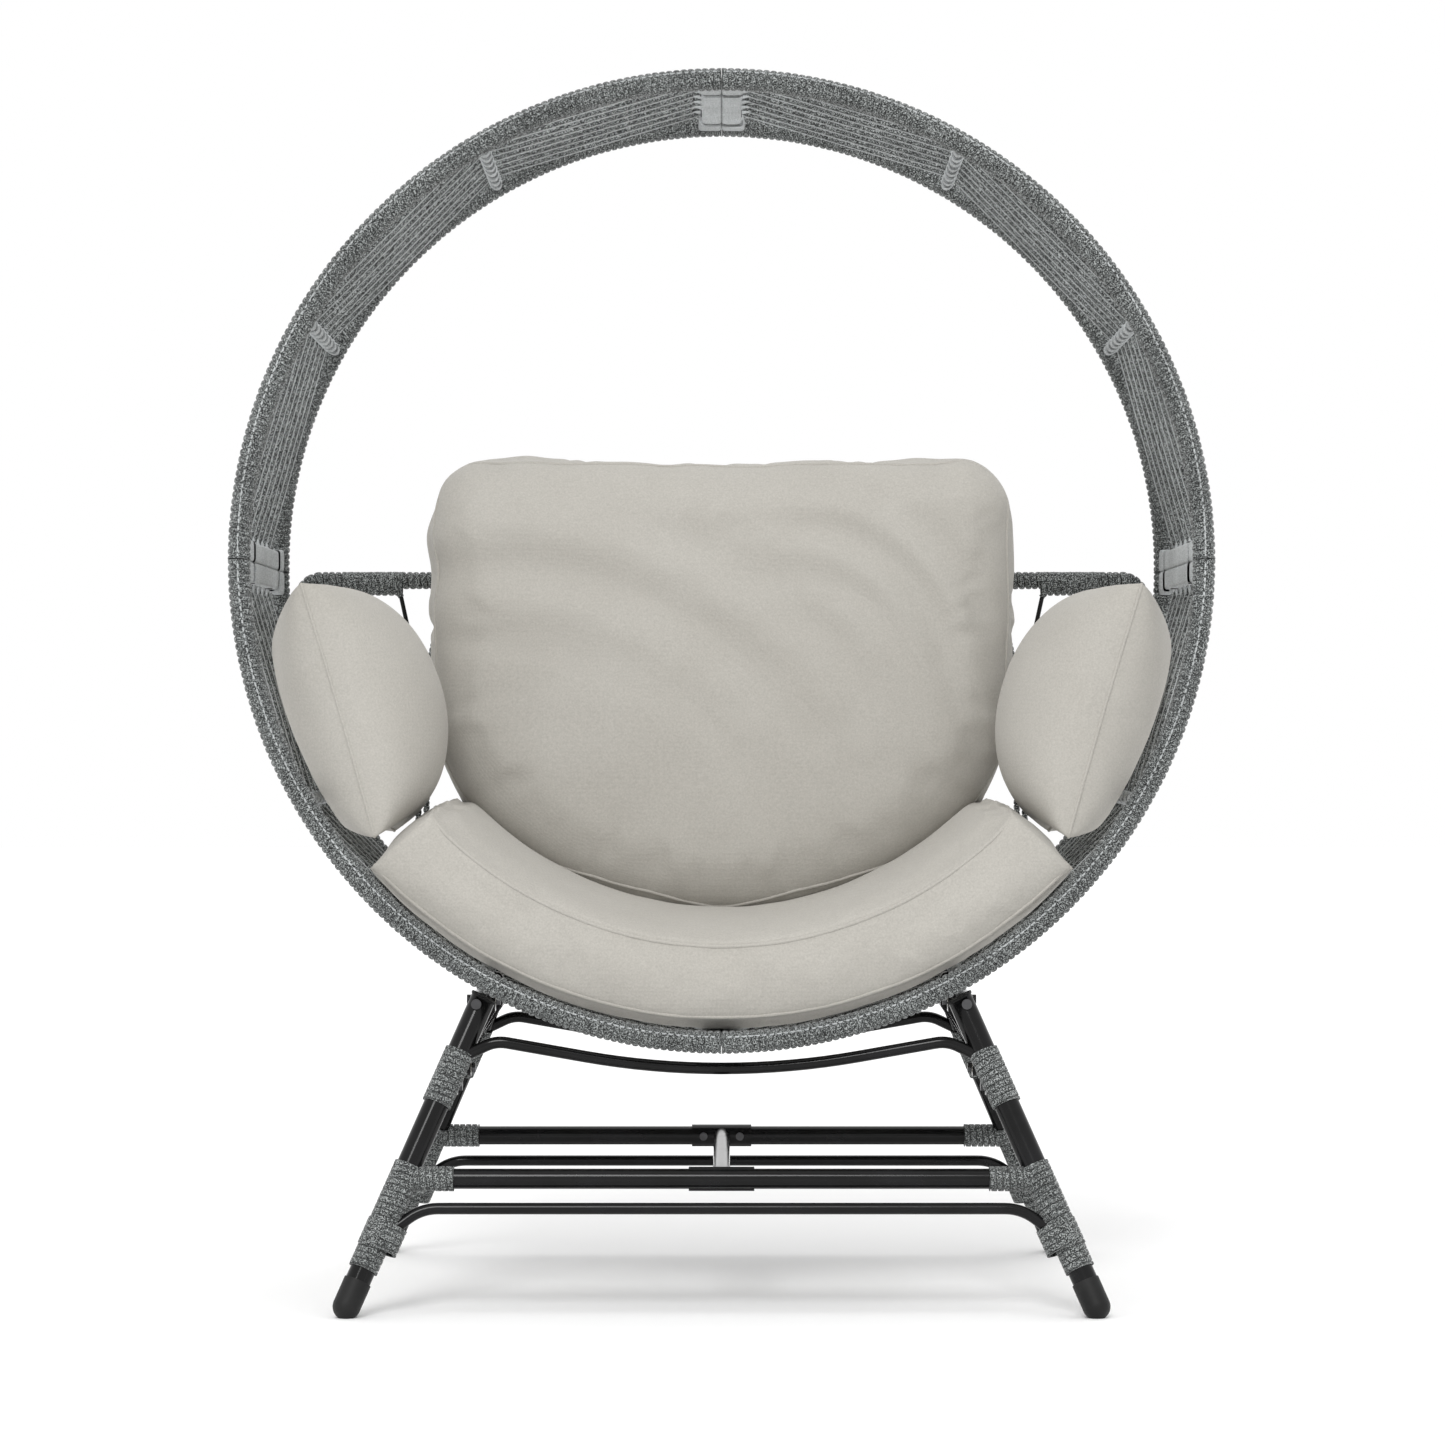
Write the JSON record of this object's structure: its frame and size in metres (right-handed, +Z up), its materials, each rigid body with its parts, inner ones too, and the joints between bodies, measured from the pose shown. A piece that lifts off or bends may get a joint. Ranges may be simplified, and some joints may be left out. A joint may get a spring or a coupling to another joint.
{
  "type": "glider swing",
  "caption": "Round two-seat glider: a rope-wrapped, laced drum seat with cushions that swings fore and aft on arms under a splayed tube base.",
  "frame": {"origin": "on the floor, midway between the four feet, under the middle of the object's box", "axes": "+X to the sitter's left as seen from the front (right in a front view), +Y to the back, +Z up"},
  "size_m": [1.2478, 0.7156, 1.5667],
  "materials": {
    "black_frame": "satin powder coat",
    "dark_rope": "braided polyester rope, heathered grey",
    "light_cord": "light grey polyester cord",
    "cushion_fabric": "warm light grey woven polyester",
    "black_plastic": "matt",
    "fastener_black": "black oxide",
    "bush_nylon": "nylon",
    "buffer_rubber": "matt"
  },
  "bodies": {
    "base": {"leg_front_left": "black_frame", "leg_front_right": "black_frame", "leg_rear_left": "black_frame", "leg_rear_right": "black_frame", "front_crossbar": "black_frame", "front_lower_rod": "black_frame", "front_upper_rod": "black_frame", "rear_crossbar": "black_frame", "rear_lower_rod": "black_frame", "rear_upper_rod": "black_frame", "leg_top_caps": "black_plastic", "foot_caps": "black_plastic", "upper_leg_wraps": "dark_rope", "lower_leg_wraps": "dark_rope", "centre_stretcher": "black_frame", "stretcher_saddles": "black_frame", "saddle_bolts": "fastener_black", "left_top_rail": "black_frame", "right_top_rail": "black_frame", "rail_bolts": "fastener_black", "upper_pivot_bolts": "fastener_black", "upper_pivot_spacers": "fastener_black", "upper_pivot_nuts": "fastener_black"},
    "arm_front_left": {"arm_front_left": "black_frame", "arm_front_left_bushes": "bush_nylon"},
    "arm_front_right": {"arm_front_right": "black_frame", "arm_front_right_bushes": "bush_nylon"},
    "arm_rear_left": {"arm_rear_left": "black_frame", "arm_rear_left_bushes": "bush_nylon"},
    "arm_rear_right": {"arm_rear_right": "black_frame", "arm_rear_right_bushes": "bush_nylon"},
    "seat": {"left_glide_rail": "black_frame", "right_glide_rail": "black_frame", "glide_rail_buffers": "buffer_rubber", "lower_pivot_bolts": "fastener_black", "lower_pivot_spacers": "fastener_black", "lower_pivot_nuts": "fastener_black", "hangers": "black_frame", "upper_left_frame": "black_frame", "upper_left_lacing": "dark_rope", "upper_right_frame": "black_frame", "upper_right_lacing": "dark_rope", "lower_left_frame": "black_frame", "lower_left_lacing": "dark_rope", "lower_right_frame": "black_frame", "lower_right_lacing": "dark_rope", "frame_bolts": "fastener_black", "frame_nuts": "fastener_black", "hoop_wraps": "dark_rope", "spacer_wraps": "light_cord", "joint_wraps": "light_cord", "back_bar": "black_frame", "back_arches": "black_frame", "backrest_wraps": "dark_rope", "seat_cushion": "cushion_fabric", "back_cushion": "cushion_fabric", "left_pillow": "cushion_fabric", "right_pillow": "cushion_fabric"}
  },
  "joints": [
    {"name": "glide", "type": "hinge", "parent": "base", "child": "arm_front_left", "pos_m": [-0.2925, -0.15, 0.382], "axis": [1, 0, 0], "range_deg": [-20, 20]},
    {"name": "seat_level", "type": "hinge", "parent": "arm_front_left", "child": "seat", "pos_m": [-0.341, -0.15, 0.272], "axis": [1, 0, 0], "range_deg": [-20, 20]},
    {"name": "arm_front_right_swing", "type": "hinge", "parent": "base", "child": "arm_front_right", "pos_m": [0.2925, -0.15, 0.382], "axis": [1, 0, 0], "range_deg": [-20, 20]},
    {"name": "arm_rear_left_swing", "type": "hinge", "parent": "base", "child": "arm_rear_left", "pos_m": [-0.2925, 0.15, 0.382], "axis": [1, 0, 0], "range_deg": [-20, 20]},
    {"name": "arm_rear_right_swing", "type": "hinge", "parent": "base", "child": "arm_rear_right", "pos_m": [0.2925, 0.15, 0.382], "axis": [1, 0, 0], "range_deg": [-20, 20]}
  ],
  "couplings": [
    {"joint": "seat_level", "follows": "glide", "ratio": -1},
    {"joint": "arm_front_right_swing", "follows": "glide", "ratio": 1},
    {"joint": "arm_rear_left_swing", "follows": "glide", "ratio": 1},
    {"joint": "arm_rear_right_swing", "follows": "glide", "ratio": 1}
  ]
}
